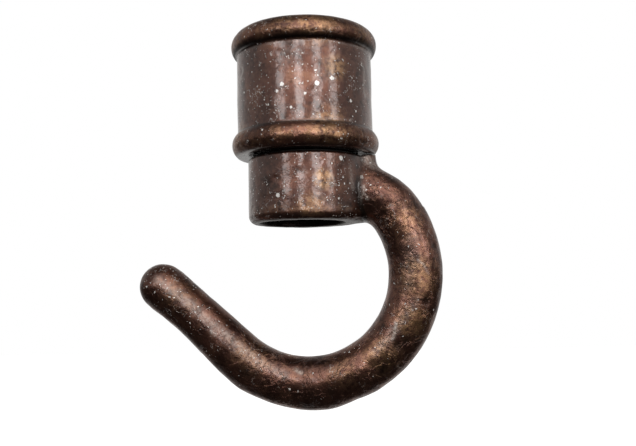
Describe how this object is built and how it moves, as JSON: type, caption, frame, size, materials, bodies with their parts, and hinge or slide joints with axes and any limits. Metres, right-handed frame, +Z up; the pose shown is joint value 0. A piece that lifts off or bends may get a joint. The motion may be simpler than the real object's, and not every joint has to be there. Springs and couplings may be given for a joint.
{
  "type": "swivel hook with threaded pipe socket",
  "caption": "Bronzed hanging hook that swivels under a short threaded pipe socket, with beaded ends on the socket and an open J-shaped hook.",
  "frame": {"origin": "on the socket's axis where its thread starts, 1.2 mm inside the mouth's end face", "axes": "+Z up along the socket, towards the pipe it screws on to; +X from the axis towards the side of the cup that the hook springs from; the hook lies in the XZ plane"},
  "size_m": [0.0605, 0.0296, 0.0755],
  "materials": {
    "socket_barrel": "dark antique bronze patina, semi-gloss",
    "thrust_washer": "plain turned",
    "pivot_bolt": "oiled",
    "spacer_washer": "matt black fibre",
    "hook_casting": "dark antique bronze patina, semi-gloss, rubbed to copper on the high spots",
    "plain_washer": "zinc plated, dull",
    "spring_washer": "phosphated",
    "hex_nut": "zinc plated, dull"
  },
  "bodies": {
    "socket": {"socket_barrel": "socket_barrel", "thrust_washer": "thrust_washer"},
    "hook": {"pivot_bolt": "pivot_bolt", "spacer_washer": "spacer_washer", "hook_casting": "hook_casting", "plain_washer": "plain_washer", "spring_washer": "spring_washer", "hex_nut": "hex_nut"}
  },
  "joints": [
    {"name": "swivel", "type": "hinge", "parent": "socket", "child": "hook", "pos_m": [0, 0, -0.0217], "axis": [0, 0, 1], "continuous": true}
  ]
}
